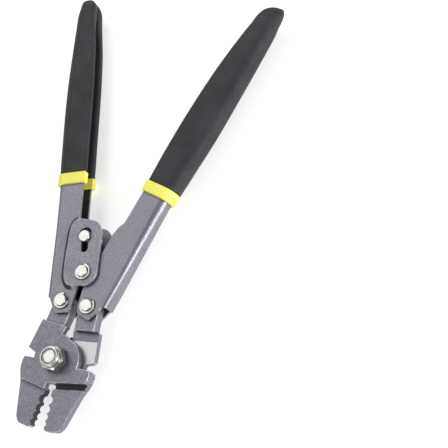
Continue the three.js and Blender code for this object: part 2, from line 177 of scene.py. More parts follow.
def arc(cx, cy, r, start, end, steps):
    """Points of an arc, with its angles in degrees."""
    angles = [math.radians(start + (end - start) * i / steps) for i in range(steps + 1)]
    return [(cx + r * math.cos(a), cy + r * math.sin(a)) for a in angles]


# ---- Solids, as bmesh in millimetres ----
ON_AXIS = 1e-6
WELD = 1e-3
FLAT_WITHIN = math.radians(0.4)
SHARP_ABOVE = math.radians(38)


def plate(points, z0, z1, top=0.0, bottom=0.0, segments=3):
    """A flat plate with its rims rounded by `top` and `bottom`."""
    bm = bmesh.new()
    lower = [bm.verts.new((p[0], p[1], z0)) for p in points]
    upper = [bm.verts.new((p[0], p[1], z1)) for p in points]
    rims = [(bm.faces.new(lower[::-1]), bottom), (bm.faces.new(upper), top)]
    for i in range(len(points)):
        j = (i + 1) % len(points)
        bm.faces.new((lower[i], lower[j], upper[j], upper[i]))
    for face, width in rims:
        if width:
            bevel_edges(bm, list(face.edges), width, segments)
    bmesh.ops.recalc_face_normals(bm, faces=bm.faces)
    return bm


def bevel_edges(bm, edges, width, segments):
    """Rounds edges. The bevel needs face normals that are up to date."""
    bm.normal_update()
    bmesh.ops.bevel(
        bm, geom=edges, offset=width, segments=segments, profile=0.5, affect="EDGES", clamp_overlap=True
    )


def turned(profile, sides=56):
    """A turned solid about Z from its profile (r, z), which runs from the axis to the axis or is a loop."""
    bm = bmesh.new()
    rings = []
    for r, z in profile:
        if r < ON_AXIS:
            rings.append([bm.verts.new((0, 0, z))])
            continue
        angles = [2 * math.pi * k / sides for k in range(sides)]
        rings.append([bm.verts.new((r * math.cos(a), r * math.sin(a), z)) for a in angles])
    for a, b in zip(rings, rings[1:]):
        for k in range(sides):
            corners = (a[k % len(a)], a[(k + 1) % len(a)], b[(k + 1) % len(b)], b[k % len(b)])
            unique = list(dict.fromkeys(corners))
            if len(unique) > 2:
                bm.faces.new(unique)
    bmesh.ops.recalc_face_normals(bm, faces=bm.faces)
    return bm


def ring_of(outer, inner, z0, z1, soft):
    """A flat ring with a softened outer edge. Its profile ends where it starts, so it's welded there."""
    bm = turned(
        [
            (inner, z0),
            (outer - soft, z0),
            (outer, z0 + soft),
            (outer, z1 - soft),
            (outer - soft, z1),
            (inner, z1),
            (inner, z0),
        ]
    )
    bmesh.ops.remove_doubles(bm, verts=bm.verts, dist=1e-5)
    bmesh.ops.recalc_face_normals(bm, faces=bm.faces)
    return bm


def rod(x, y, r, z0, z1, sides=48):
    """A plain round bar along Z."""
    bm = turned([(0, z0), (r, z0), (r, z1), (0, z1)], sides)
    bmesh.ops.translate(bm, verts=bm.verts, vec=(x, y, 0))
    return bm


def hex_prism(z0, z1):
    """The hexagon of the bolt's head and nut, to cut a turned blank with."""
    return rod(0, 0, HEX_CORNER, z0, z1, 6)


def loft(rings):
    """A closed solid through rings of equal length, capped at both ends."""
    bm = bmesh.new()
    made = [[bm.verts.new(p) for p in ring] for ring in rings]
    count = len(rings[0])
    for a, b in zip(made, made[1:]):
        for i in range(count):
            j = (i + 1) % count
            bm.faces.new((a[i], a[j], b[j], b[i]))
    bm.faces.new(made[0])
    bm.faces.new(made[-1][::-1])
    bmesh.ops.recalc_face_normals(bm, faces=bm.faces)
    # The narrow faces of a pinched end can turn the whole solid inside out.
    if bm.calc_volume(signed=True) < 0:
        bmesh.ops.reverse_faces(bm, faces=bm.faces)
    return bm


def holder(bm):
    """A working object that holds a solid for the Boolean modifier, and uses the solid up."""
    mesh = bpy.data.meshes.new("work")
    bm.to_mesh(mesh)
    bm.free()
    obj = bpy.data.objects.new("work", mesh)
    bpy.context.scene.collection.objects.link(obj)
    return obj


def carve(base, *steps):
    """Joins and cuts solids. Each step is (operation, solid)."""
    work = holder(base)
    tools = [holder(tool) for _, tool in steps]
    for (operation, _), tool in zip(steps, tools):
        modifier = work.modifiers.new(operation, "BOOLEAN")
        modifier.operation = operation
        modifier.solver = "EXACT"
        modifier.object = tool
    bpy.context.view_layer.update()
    result = bmesh.new()
    result.from_object(work, bpy.context.evaluated_depsgraph_get())
    for obj in [work, *tools]:
        mesh = obj.data
        bpy.data.objects.remove(obj)
        bpy.data.meshes.remove(mesh)
    bmesh.ops.remove_doubles(result, verts=result.verts, dist=WELD)
    # A sliver that the cutting drops leaves a tiny open triangle.
    bmesh.ops.holes_fill(result, edges=[edge for edge in result.edges if edge.is_boundary], sides=0)
    return result


def soften(bm, width, segments):
    """Merges coplanar faces and rounds every sharp edge."""
    bmesh.ops.dissolve_limit(
        bm, angle_limit=FLAT_WITHIN, verts=bm.verts, edges=bm.edges, use_dissolve_boundaries=False
    )
    sharp = [e for e in bm.edges if len(e.link_faces) == 2 and e.calc_face_angle(0) > SHARP_ABOVE]
    bevel_edges(bm, sharp, width, segments)
    return bm


# ---- Finishes ----
def new_material(name, color, roughness, metallic, **sockets):
    """A new material, with its node tree, its Principled shader and the object coordinates."""
    material = bpy.data.materials.new(name)
    material.use_nodes = True
    tree = material.node_tree
    shader = tree.nodes["Principled BSDF"]
    shader.inputs["Base Color"].default_value = (*color, 1)
    shader.inputs["Roughness"].default_value = roughness
    shader.inputs["Metallic"].default_value = metallic
    for socket, value in sockets.items():
        shader.inputs[socket.replace("_", " ")].default_value = value
    place = tree.nodes.new("ShaderNodeTexCoord")
    return material, tree, shader, place.outputs["Object"]


def noise(tree, where, scale, detail=4.0, roughness=0.55, stretch=None):
    """Cloudy noise, with its scale in cells a metre."""
    node = tree.nodes.new("ShaderNodeTexNoise")
    node.inputs["Scale"].default_value = scale
    node.inputs["Detail"].default_value = detail
    node.inputs["Roughness"].default_value = roughness
    if stretch:
        mapping = tree.nodes.new("ShaderNodeMapping")
        mapping.inputs["Scale"].default_value = stretch
        tree.links.new(where, mapping.inputs["Vector"])
        where = mapping.outputs["Vector"]
    tree.links.new(where, node.inputs["Vector"])
    return node.outputs["Fac"]


def cells(tree, where, scale):
    """The distance to the nearest of many scattered points, which makes a pebbled grain."""
    node = tree.nodes.new("ShaderNodeTexVoronoi")
    node.inputs["Scale"].default_value = scale
    tree.links.new(where, node.inputs["Vector"])
    return node.outputs["Distance"]


def ramp(tree, value, *stops):
    """Maps a value through colours at positions: (position, colour)."""
    node = tree.nodes.new("ShaderNodeValToRGB")
    elements = node.color_ramp.elements
    while len(elements) < len(stops):
        elements.new(0.5)
    for element, (position, color) in zip(elements, stops):
        element.position = position
        element.color = (*color, 1)
    tree.links.new(value, node.inputs["Fac"])
    return node.outputs["Color"]


def grey(level):
    """A grey colour, or a plain value for a socket that takes one."""
    return (level, level, level)


def mix_colors(tree, factor, a, b, blend="MIX"):
    """Mixes two colours. The factor and the colours may be plain values or other nodes' outputs."""
    node = tree.nodes.new("ShaderNodeMix")
    node.data_type = "RGBA"
    node.blend_type = blend
    sockets = {s.name: s for s in node.inputs if s.enabled}
    for name, value in (("Factor", factor), ("A", a), ("B", b)):
        if isinstance(value, (float, tuple)):
            sockets[name].default_value = value if isinstance(value, float) else (*value, 1)
        else:
            tree.links.new(value, sockets[name])
    return [s for s in node.outputs if s.enabled][0]


def bump(tree, shader, *layers):
    """Stacks bump layers of (height, strength, distance in metres) on the shader's normal."""
    normal = None
    for height, strength, distance in layers:
        node = tree.nodes.new("ShaderNodeBump")
        node.inputs["Strength"].default_value = strength
        node.inputs["Distance"].default_value = distance
        tree.links.new(height, node.inputs["Height"])
        if normal:
            tree.links.new(normal, node.inputs["Normal"])
        normal = node.outputs["Normal"]
    tree.links.new(normal, shader.inputs["Normal"])


def highlit_and_worn_edges(tree, where):
    """A broken mask along the narrow faces of rounded edges, which piece() marks as rims: painted highlight
    there, partly wear.
    """
    node = tree.nodes.new("ShaderNodeAttribute")
    node.attribute_name = "rim"
    highlight_and_wear = ramp(tree, noise(tree, where, 220.0), (0.35, grey(0.15)), (0.65, grey(0.8)))
    return mix_colors(tree, 1.0, node.outputs["Color"], highlight_and_wear, "MULTIPLY")


def painted_corner_shade(tree, reach):
    """Painted shade in corners and beside steps, from ambient occlusion: 1 in the open, lower in a crevice.
    """
    node = tree.nodes.new("ShaderNodeAmbientOcclusion")
    node.samples = 8
    node.inputs["Distance"].default_value = reach
    return ramp(tree, node.outputs["AO"], (0.3, grey(0.16)), (0.62, grey(0.6)), (0.92, grey(1.0)))


def grey_coat(name, color, light, edge_highlight_color):
    """Satin metallic coat with a fine powder grain, slow colour drift, painted shade in corners, and light
    edges that are painted highlight and partly wear.
    """
    material, tree, shader, where = new_material(name, color, 0.4, 0.6)
    drift = noise(tree, where, 60.0, 2.0)
    grain = noise(tree, where, 1200.0, 3.0, 0.6)
    base = mix_colors(tree, ramp(tree, drift, (0.35, grey(0.0)), (0.65, grey(1.0))), color, light)
    flecks = ramp(tree, grain, (0.38, grey(0.66)), (0.62, grey(1.0)))
    base = mix_colors(tree, 1.0, base, flecks, "MULTIPLY")
    # Painted highlight along rounded edges, broken by noise like wear.
    base = mix_colors(tree, highlit_and_worn_edges(tree, where), base, edge_highlight_color)
    # Painted shade: the coat darkens in corners and beside steps.
    base = mix_colors(tree, 1.0, base, painted_corner_shade(tree, 0.0028), "MULTIPLY")
    tree.links.new(base, shader.inputs["Base Color"])
    rough = ramp(tree, grain, (0.35, grey(0.44)), (0.65, grey(0.36)))
    tree.links.new(rough, shader.inputs["Roughness"])
    bump(tree, shader, (grain, 0.35, 0.00005))
    return material


def machined_steel():
    """The bare ground faces where the two jaws lap."""
    material, tree, shader, where = new_material("machined_steel", (0.6, 0.59, 0.58), 0.32, 1.0)
    lines = noise(tree, where, 500.0, 4.0, stretch=(1.0, 9.0, 1.0))
    tree.links.new(ramp(tree, lines, (0.3, grey(0.4)), (0.7, grey(0.56))), shader.inputs["Base Color"])
    tree.links.new(ramp(tree, lines, (0.3, grey(0.26)), (0.7, grey(0.42))), shader.inputs["Roughness"])
    bump(tree, shader, (lines, 0.2, 0.00002))
    return material


def dull_film_and_painted_shade(name, dark, light):
    """A dull, uneven film: near black it stands for painted shade, lighter it is the ticks' paint."""
    material, tree, shader, where = new_material(name, dark, 0.6, 0.2)
    patches = noise(tree, where, 180.0)
    tree.links.new(ramp(tree, patches, (0.3, dark), (0.75, light)), shader.inputs["Base Color"])
    bump(tree, shader, (noise(tree, where, 1500.0), 0.3, 0.00005))
    return material


def bright_zinc():
    """Bright zinc plating with a slightly cloudy shine."""
    material, tree, shader, where = new_material("bright_zinc", (0.7, 0.7, 0.67), 0.3, 1.0)
    clouds = noise(tree, where, 420.0)
    base = ramp(tree, clouds, (0.25, (0.5, 0.5, 0.47)), (0.7, (0.72, 0.72, 0.68)))
    tree.links.new(base, shader.inputs["Base Color"])
    tree.links.new(ramp(tree, clouds, (0.3, grey(0.22)), (0.75, grey(0.38))), shader.inputs["Roughness"])
    bump(tree, shader, (noise(tree, where, 1300.0, 3.0), 0.12, 0.00003))
    return material


def dipped_vinyl():
    """Black dip coat with a leathery grain."""
    material, tree, shader, where = new_material(
        "grip_vinyl", (0.03, 0.03, 0.033), 0.6, 0.0, Specular_IOR_Level=0.35
    )
    wrinkle = cells(tree, where, 620.0)
    crease = noise(tree, where, 900.0, 5.0, 0.62)
    base = ramp(tree, noise(tree, where, 60.0), (0.3, (0.025, 0.024, 0.029)), (0.72, (0.045, 0.044, 0.051)))
    tree.links.new(base, shader.inputs["Base Color"])
    tree.links.new(ramp(tree, crease, (0.3, grey(0.5)), (0.7, grey(0.8))), shader.inputs["Roughness"])
    bump(tree, shader, (wrinkle, 0.5, 0.00022), (crease, 0.55, 0.00014))
    return material


def yellow_vinyl():
    """Smooth yellow dip coat."""
    material, tree, shader, where = new_material("band_vinyl", (0.95, 0.86, 0.07), 0.42, 0.0)
    shade = noise(tree, where, 150.0)
    base = ramp(tree, shade, (0.3, (0.98, 0.92, 0.11)), (0.7, (1.0, 0.98, 0.2)))
    tree.links.new(base, shader.inputs["Base Color"])
    bump(tree, shader, (noise(tree, where, 800.0), 0.2, 0.00008))
    return material


def nylon():
    """Off-white, slightly milky nylon."""
    material, tree, shader, where = new_material(
        "nylon", (0.62, 0.62, 0.58), 0.45, 0.0, Subsurface_Weight=0.1
    )
    bump(tree, shader, (noise(tree, where, 900.0), 0.15, 0.00005))
    return material


def red_plastic():
    """Dark red moulded plastic."""
    material, tree, shader, where = new_material("red_plastic", (0.19, 0.012, 0.028), 0.4, 0.0)
    base = ramp(tree, noise(tree, where, 300.0), (0.3, (0.15, 0.01, 0.02)), (0.7, (0.24, 0.016, 0.036)))
    tree.links.new(base, shader.inputs["Base Color"])
    bump(tree, shader, (noise(tree, where, 900.0), 0.2, 0.00005))
    return material


# The light colour of the rounded edges: painted highlight, partly wear.
EDGE_HIGHLIGHT_AND_WEAR = (0.64, 0.635, 0.68)
FORGED = grey_coat("grey_coat_forged", (0.242, 0.233, 0.277), (0.269, 0.26, 0.306), EDGE_HIGHLIGHT_AND_WEAR)
PRESSED = grey_coat("grey_coat_pressed", (0.276, 0.268, 0.31), (0.302, 0.295, 0.339), EDGE_HIGHLIGHT_AND_WEAR)
# A dark copy of the coat: painted shade on the ear's bend.
SHADED_BEND_COAT = grey_coat("grey_coat_painted_bend_shade", (0.06, 0.057, 0.07), (0.1, 0.096, 0.115), (0.1, 0.096, 0.115))
STEEL = machined_steel()
# Near black inside the handles' channels: painted shade.
SHADE_IN_CHANNEL = dull_film_and_painted_shade("channel_inside_painted_shade", (0.022, 0.021, 0.025), (0.06, 0.058, 0.066))
# Near black on the jaws' far lap face, crests and cavity walls: painted shade.
JAW_SHADE = dull_film_and_painted_shade("jaw_painted_shade", (0.022, 0.02, 0.026), (0.06, 0.057, 0.07))
MARK = dull_film_and_painted_shade("mark_paint", (0.4, 0.39, 0.43), (0.55, 0.54, 0.58))
ZINC = bright_zinc()
VINYL = dipped_vinyl()
YELLOW = yellow_vinyl()
NYLON = nylon()
RED = red_plastic()

# ---- Local frames, from millimetres to the row frame ----
TO_METRES = Matrix.Diagonal((MM, MM, MM, 1))
LEFT_JAW = Matrix.Translation(PIVOT) @ Matrix.Rotation(-OPEN_JAW, 4, "Z") @ TO_METRES
TURNED_OVER = Matrix.Rotation(math.pi, 4, "Y")
RIGHT_JAW = Matrix.Translation(PIVOT) @ Matrix.Rotation(OPEN_JAW, 4, "Z") @ TURNED_OVER @ TO_METRES
RIGHT_HANDLE = Matrix.Translation(HANDLE_PIN) @ Matrix.Rotation(-HANDLE_TILT, 4, "Z") @ TO_METRES
MIRROR = Matrix.Diagonal((-1, 1, 1, 1))
LEFT_HANDLE = Matrix.Translation(HANDLE_PIN) @ Matrix.Rotation(HANDLE_TILT, 4, "Z") @ MIRROR @ TO_METRES
ON_PIVOT = Matrix.Translation(PIVOT) @ TO_METRES
HANDLES = {"left": LEFT_HANDLE, "right": RIGHT_HANDLE}

# ---- Pieces ----
RIM_WIDTH = 0.3
LEVEL = 0.99


def is_rim(face):
    """A narrow sloping face, such as a strip of a rounded edge."""
    return abs(face.normal.z) < LEVEL and 2 * face.calc_area() / face.calc_perimeter() < RIM_WIDTH


def piece(name, bm, place, node, materials, finish_of=None, smooth=32):
    """Makes a finished piece that stands for a CAD node.

    `finish_of` tells which material a face has. An edge steeper than `smooth` degrees stays sharp."""
    bm.normal_update()
    rims = [float(is_rim(face)) for face in bm.faces]
    if finish_of:
        for face in bm.faces:
            face.material_index = int(finish_of(face))
    bmesh.ops.transform(bm, matrix=place, verts=bm.verts)
    if place.determinant() < 0:
        bmesh.ops.reverse_faces(bm, faces=bm.faces)
    mesh = bpy.data.meshes.new(name)
    bm.to_mesh(mesh)
    bm.free()
    mesh.attributes.new("rim", "FLOAT", "FACE").data.foreach_set("value", rims)
    mesh.polygons.foreach_set("use_smooth", [True] * len(mesh.polygons))
    mesh.set_sharp_from_angle(angle=math.radians(smooth))
    for material in materials:
        mesh.materials.append(material)
    obj = bpy.data.objects.new(name, mesh)
    bpy.context.scene.collection.objects.link(obj)
    normals = obj.modifiers.new("flat faces stay flat", "WEIGHTED_NORMAL")
    normals.keep_sharp = True
    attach(obj, frame["nodes"][node]["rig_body"])
    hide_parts(node)
    return obj


# ---- Jaws ----
HUB_CORNERS = [
    (-20.2, 19.4, 1),
    (-21.2, 1.6, 0.6),
    (-15.5, 0),
    (-15, -2.9),
    (-21.3, -3.7, 1),
    (-21.5, -7.5, 4),
    (-20.4, -11.4, 3),
    (-17.6, -16.5, 0.5),
    (CREST - 0.2, -17.1),
    (-0.5, -13.5, 0.5),
    (23.2, -6.4, 2.5),
    (23.4, -2.4, 2),
    (22.2, 1.2, 0.5),
    *arc(0, 0, 13.95, 0, 62, 20),
    (-3.9, 15.6),
    (-3.2, 19.8),
]
ARM_CORNERS = [
    (-18.5, 18.8),
    (-5.9, 18.8),
    (-5.6, 27.5, 2),
    *arc(*JAW_PIN_CLOSED, 6.2, -8, 176, 26),
]
JAW_CORNERS = [
    (CREST - 0.5, -15.9),
    (-19.8, -15, 0.5),
    (-18, -18.2, 2),
    (-11.2, -36.4, 5),
    (-8.6, -39.2, 2),
    (-1.2, -39.4, 1.2),
    (CREST, -37.9),
    (CREST, -17.2),
]
# The step between the hub and the arm, on the side where the jaws lap.
RELIEF = [(-30, 13.4), (0, 13.4), (0, 18.8), (-30, 18.8)]
RELIEF_DEEP = 0.6
# The lap face is ground bright from here towards the handles and painted dark as shade beyond it, and the
# biting edge starts at TEETH_FROM.
GROUND_FROM = -8.0
TEETH_FROM = -15.5
TICK_DEPTH = 0.15
CLOSE_TO = 0.02


def size_ticks():
    """Shallow painted ticks beside each cavity, one more in each row towards the pivot."""
    pitch, first = 1.35, -4.8
    wide, tall, first_tall = 0.55, 1.1, 1.6
    towards_pivot = 0.2
    ticks = bmesh.new()
    for row, (at, _, _) in enumerate(CRIMPS):
        for k in range(len(CRIMPS) - row + 1):
            size = Matrix.Diagonal((wide, first_tall if k == 0 else tall, 2 * TICK_DEPTH, 1))
            spot = Matrix.Translation((first - k * pitch, -at + towards_pivot, -JAW_HALF))
            bmesh.ops.create_cube(ticks, size=1, matrix=spot @ size)
    return ticks


def jaw():
    """One forged jaw: hub half, arm and bite, with the cavities, holes, step and ticks cut in."""
    hub = plate(rounded(HUB_CORNERS), FACE_GAP, HUB_HALF, top=0.5)
    arm = plate(rounded(ARM_CORNERS), -ARM_HALF, ARM_HALF, top=0.45, bottom=0.45)
    bite = plate(rounded(JAW_CORNERS), -JAW_HALF, JAW_HALF, top=0.4, bottom=0.4)
    through = (-HUB_HALF - 1, HUB_HALF + 1)
    cavities = [("DIFFERENCE", rod(beyond, -at, r, *through)) for at, r, beyond in CRIMPS]
    bite = carve(bite, *cavities)
    whole = carve(
        hub,
        ("UNION", arm),
        ("UNION", bite),
        ("DIFFERENCE", plate([Vector(p) for p in RELIEF], -1, FACE_GAP + RELIEF_DEEP)),
        ("DIFFERENCE", rod(0, 0, BOLT_R + SIDE_GAP, *through)),
        ("DIFFERENCE", rod(*JAW_PIN_CLOSED, PIN_R + SIDE_GAP, *through)),
        ("DIFFERENCE", size_ticks()),
    )
    # An edge across the lap face parts its bright end from its end that is painted dark as shade.
    everything = [*whole.verts, *whole.edges, *whole.faces]
    bmesh.ops.bisect_plane(
        whole, geom=everything, plane_co=(0, GROUND_FROM, 0), plane_no=(0, 1, 0), dist=1e-4
    )
    return whole


def jaw_finish(face):
    """0 for the coat, 1 for the bright ground lap face, 2 for painted shade on the far lap face, the crests
    and the cavities, 3 for paint in the ticks.
    """
    where = face.calc_center_median()
    if abs(face.normal.z) > 0.9:
        if abs(where.z - FACE_GAP) < CLOSE_TO:
            return 1 if where.y > GROUND_FROM else 2
        return 3 if abs(where.z - TICK_DEPTH + JAW_HALF) < CLOSE_TO else 0
    on_crest = where.x > CREST - 0.1
    in_cavity = any(math.hypot(where.x - beyond, where.y + at) < r + 0.03 for at, r, beyond in CRIMPS)
    on_edge = where.y < TEETH_FROM and abs(where.z) < JAW_HALF
    # The crests and cavity walls of the bite get the painted shade.
    return 2 if on_edge and (on_crest or in_cavity) else 0


def make_jaws():
    """Both jaws, which are the same forging: the right one is turned over."""
    coats = [FORGED, STEEL, JAW_SHADE, MARK]
    for side, place in (("left", LEFT_JAW), ("right", RIGHT_JAW)):
        piece(f"{side}_jaw_fine", jaw(), place, f"jaw_{side}", coats, jaw_finish)


# ---- Handles ----
# Outer edge of the steel and its corner radius, at places along each handle: (v, u, radius).
SPINE = {
    "left": (
        (-24, 23.3, 2.4),
        (0, 23.1, 2.6),
        (30, 22.9, 2.8),
        (56, 23.6, 3.6),
        (80, 24.5, 5.0),
        (107, 25.3, CORNER),
        (130, 25.4, CORNER),
        (150, 24.8, CORNER),
        (170, 24.0, CORNER),
        (198, 22.9, CORNER),
    ),
    "right": (
        (-24, 23.7, 2.6),
        (0, 23.7, 3.0),
        (30, 23.2, 4.2),
        (56, 23.0, 5.6),
        (80, 23.9, CORNER),
        (107, 25.0, CORNER),
        (150, 24.7, CORNER),
        (170, 24.2, CORNER),
        (198, 23.5, CORNER),
    ),
}
STEEL_FROM, STEEL_TOP = -24, 176
# How far the solids that cut the handles reach: past the spine, past the open edge, and front and back.
FAR = 34
OPEN_SIDE = -8
REACH = 14
# The outline of each handle's flanges: (u, v, radius).
FLANGE = {
    "left": [
        *[(12.6, STEEL_TOP), (11.4, 168), (9.9, 154), (8.7, 132), (8.1, 114), (7.6, 88), (7.0, 60)],
        (7.0, 41.3),
        (7.0, 0),
        (4.2, -8.5),
        (7.0, -20.6, 1),
        (8.6, -22.9, 0.8),
        (17.0, -22.9, 1),
        (19.1, -18.6, 1),
        (20.8, -14.2, 1),
        (22.2, -12.4),
        (FAR, -9.2),
        (FAR, STEEL_TOP),
    ],
    "right": [
        *[(11.5, STEEL_TOP), (9.1, 160), (7.4, 144), (6.3, 126), (5.8, 104), (5.8, 84), (5.9, 60)],
        (5.9, 41.3, 1),
        (5.9, 36.4, 1),
        (4.0, 32.6, 1),
        (3.1, 27.9),
        (3.3, 13, 1.5),
        *arc(0, 0, 6.3, 70, 305, 30),
        (4.2, -7.6),
        (7.0, -18.2, 2),
        (9.4, -22.3, 1),
        (17.9, -22.9, 1),
        (21.0, -14.0, 1),
        (21.3, -12.4),
        (FAR, -9.2),
        (FAR, STEEL_TOP),
    ],
}
# The left handle's ear, and the pocket inside it that the right handle's flange turns in.
EAR_CORNERS = [
    (-9.6, 25, 4),
    *arc(0, 0.3, 8.9, 188, 262, 14),
    (3.6, -7.6),
    (10.4, -7.4, 4),
    (12.8, -1.3, 2),
    (12.6, 11),
    (11.5, 27.4, 4),
    (9.3, 33.2, 3),
    (5.6, 34.1, 2),
    (-6.6, 31.2, 5),
]
POCKET_CORNERS = [
    (-14, -14),
    (3.6, -14),
    (3.6, -6.2),
    (9.4, -6.1, 3),
    (11.5, -1, 2),
    (11.3, 11),
    (10.2, 27, 3),
    (8.2, 31.8, 2),
    (6.6, 32.2),
    (6.6, 40),
    (-14, 40),
]
# The ear's bend fades in between two places along u. Its foot and top lie this far outside the outline.
STEP_FADES, STEP_FROM = 4.0, 7.4
STEP_FOOT, STEP_TOP = 2.9, -0.5
EAR_RIM = 0.35

GRIP_FROM = 66.0
GRIP_TOP = {"left": 194.6, "right": 197.4}
# Inner edge of each grip: (v, u).
GRIP_EDGE = {
    "left": (
        (60, 5.6),
        (66, 5.6),
        (88, 6.1),
        (114, 6.6),
        (132, 7.2),
        (154, 8.4),
        (168, 10.0),
        (180, 11.2),
        (190, 12.6),
    ),
    "right": (
        (60, 5.0),
        (66, 4.9),
        (84, 4.3),
        (104, 4.2),
        (126, 4.8),
        (144, 5.9),
        (160, 7.6),
        (174.5, 9.6),
        (186, 11.6),
    ),
}
# The tip rounds off across the grip from TIP_FROM, about a line TIP_OFFSET inside its outer edge.
TIP_FROM, TIP_ROUNDNESS, TIP_OFFSET = 180.0, 3.2, 3.2
# A slight dent in the outer edge just before the tip.
PINCH, PINCH_AT, PINCH_LONG = 0.5, 187.0, 4.0
# The grip thins front to back from NOSE_FROM.
NOSE_FROM, NOSE_ROUNDNESS = 172.0, 2.8
LIP_RADIUS = 2.2
INNER_SKIN = 1.0
# The hollow between the grip's lips gets shallower from the first place and is a crease from the second.
CREASE_FADES, CREASE_ENDS = 166.0, 184.0

BAND_FROM, BAND_TO = 58.4, 65.7
BAND_EDGE = {"left": 5.3, "right": 4.8}


def along(values, v):
    """Smooth interpolation of rows (v, ...) at v."""
    k = next(i for i in range(1, len(values)) if values[i][0] >= v or i == len(values) - 1)
    rows = [values[max(0, min(len(values) - 1, k + d))] for d in (-2, -1, 0, 1)]
    t = (v - rows[1][0]) / (rows[2][0] - rows[1][0])
    weights = (
        (-t + 2 * t * t - t**3) / 2,
        (2 - 5 * t * t + 3 * t**3) / 2,
        (t + 4 * t * t - 3 * t**3) / 2,
        (t**3 - t * t) / 2,
    )
    return [sum(w * row[c] for w, row in zip(weights, rows)) for c in range(1, len(values[0]))]


def bar(side, grow, v0, v1, inner, station=5.0):
    """A bar along the handle, flat on both sides and rounded along its outer edge.

    It is the steel's outer shape grown by `grow`."""
    count = max(2, math.ceil((v1 - v0) / station))
    rings = []
    for k in range(count + 1):
        v = v0 + (v1 - v0) * k / count
        u, r = along(SPINE[side], v)
        half = CHANNEL_HALF + grow
        r = min(max(0.5, r + grow), half - 0.02)
        low = arc(u + grow - r, r - half, r, -90, 0, 10)
        high = arc(u + grow - r, half - r, r, 0, 90, 10)
        ring = [(inner, -half), *low, *high, (inner, half)]
        rings.append([(a, v, z) for a, z in ring])
    return loft(rings)


def channel(side):
    """The bare steel channel, with its cut edges softened."""
    outline = plate(rounded(FLANGE[side]), 2 - REACH, REACH - 2)
    hollow = bar(side, -SHEET, STEEL_FROM - 2, STEEL_TOP + 2, OPEN_SIDE - 4)
    shell = bar(side, 0, STEEL_FROM, STEEL_TOP, OPEN_SIDE)
    return soften(carve(shell, ("INTERSECT", outline), ("DIFFERENCE", hollow)), 0.3, 2)


def outward_normals(points):
    """The outward direction at each point of a closed outline."""
    count = len(points)
    area = sum(points[i - 1].cross(points[i]) for i in range(count))
    turn = 1 if area > 0 else -1
    normals = []
    for i in range(count):
        run = points[(i + 1) % count] - points[i - 1]
        normals.append(Vector((run.y, -run.x)).normalized() * turn)
    return normals


def ear_ring(points, normals, z, t):
    """The ear's outline at height z; t runs from 0 at the foot of the bend to 1 at its top."""
    over = max(0.0, z - (EAR_OUTER - EAR_RIM))
    rim = EAR_RIM - math.sqrt(max(0.0, EAR_RIM**2 - over**2))
    step = STEP_FOOT + (STEP_TOP - STEP_FOOT) * t
    ring = []
    for point, normal in zip(points, normals):
        bent = min(1.0, max(0.0, (point.x - STEP_FADES) / (STEP_FROM - STEP_FADES)))
        spot = point + normal * (bent * step - (1 - bent) * rim)
        ring.append((spot.x, spot.y, z))
    return ring


def ear(sign):
    """The left handle's ear on one side, solid: it steps out from the flange over a soft bend."""
    points = [Vector(p) for p in rounded(EAR_CORNERS)]
    normals = outward_normals(points)
    root = CHANNEL_HALF - SHEET + 0.4
    foot = CHANNEL_HALF - 0.1
    steps = 12
    rings = [ear_ring(points, normals, root, 0)]
    for k in range(steps + 1):
        t = k / steps
        rings.append(ear_ring(points, normals, foot + (EAR_OUTER - foot) * (3 * t**2 - 2 * t**3), t))
    return loft([[(x, y, sign * z) for x, y, z in ring] for ring in rings])


def keyhole():
    """The keyhole through both ears, as a solid to cut with: a slot with a wide round top."""
    u, low, top = KEYHOLE["u"], KEYHOLE["low"], KEYHOLE["top"]
    narrow, wide = KEYHOLE["narrow"], KEYHOLE["wide"]
    reach = EAR_OUTER + 2
    slot = [(u - narrow, low), (u + narrow, low), (u + narrow, top), (u - narrow, top)]
    return carve(
        plate([Vector(p) for p in slot], -reach, reach),
        ("UNION", rod(u, low, narrow, -reach - 1, reach + 1)),
        ("UNION", rod(u, top, wide, -reach - 2, reach + 2)),
    )


def left_steel():
    """The left handle's steel: its channel and ears, with their pockets, pin holes and keyhole."""
    flange = CHANNEL_HALF - SHEET
    pocket = rounded(POCKET_CORNERS)
    return carve(
        channel("left"),
        ("UNION", ear(1)),
        ("UNION", ear(-1)),
        ("DIFFERENCE", plate(pocket, flange - 2, EAR_INNER)),
        ("DIFFERENCE", plate(pocket, -EAR_INNER, 2 - flange)),
        ("DIFFERENCE", rod(0, 0, PIN_R + SIDE_GAP, -REACH, REACH)),
        ("DIFFERENCE", rod(*JAW_PIN_UV, PIN_R + SIDE_GAP, -REACH, REACH)),
        ("DIFFERENCE", keyhole()),
    )


def right_steel():
    """The right handle's steel. Its hole for the handle pin has extra play, as in the CAD."""
    return carve(
        channel("right"),
        ("DIFFERENCE", rod(0, 0, PIN_R + SIDE_GAP + HANDLE_PIN_PLAY, -REACH, REACH)),
        ("DIFFERENCE", rod(*JAW_PIN_UV, PIN_R + SIDE_GAP, -REACH, REACH)),
    )


def handle_finish(side):
    """A test of a face: 0 for the coat, 1 for the channel's inside, which is painted as shade, 2 for the
    bend beside the ear, which is painted as shade.
    """
    inner = CHANNEL_HALF - SHEET + 0.1

    def test(face):
        where = face.calc_center_median()
        u, _ = along(SPINE[side], where.y)
        in_channel = abs(where.z) < inner and where.x < u - SHEET + 0.2
        flat = abs(face.normal.z) > 0.6 and where.z * face.normal.z < 0
        # Faces inside the channel get the near-black film that stands for painted shade.
        if in_channel and (flat or face.normal.x < -0.3):
            return 1
        in_step = CHANNEL_HALF < abs(where.z) < EAR_OUTER and where.x > STEP_FROM
        # The slope of the ear's bend gets the dark coat that stands for painted shade.
        return 2 if in_step and abs(face.normal.z) < 0.85 else 0

    return test


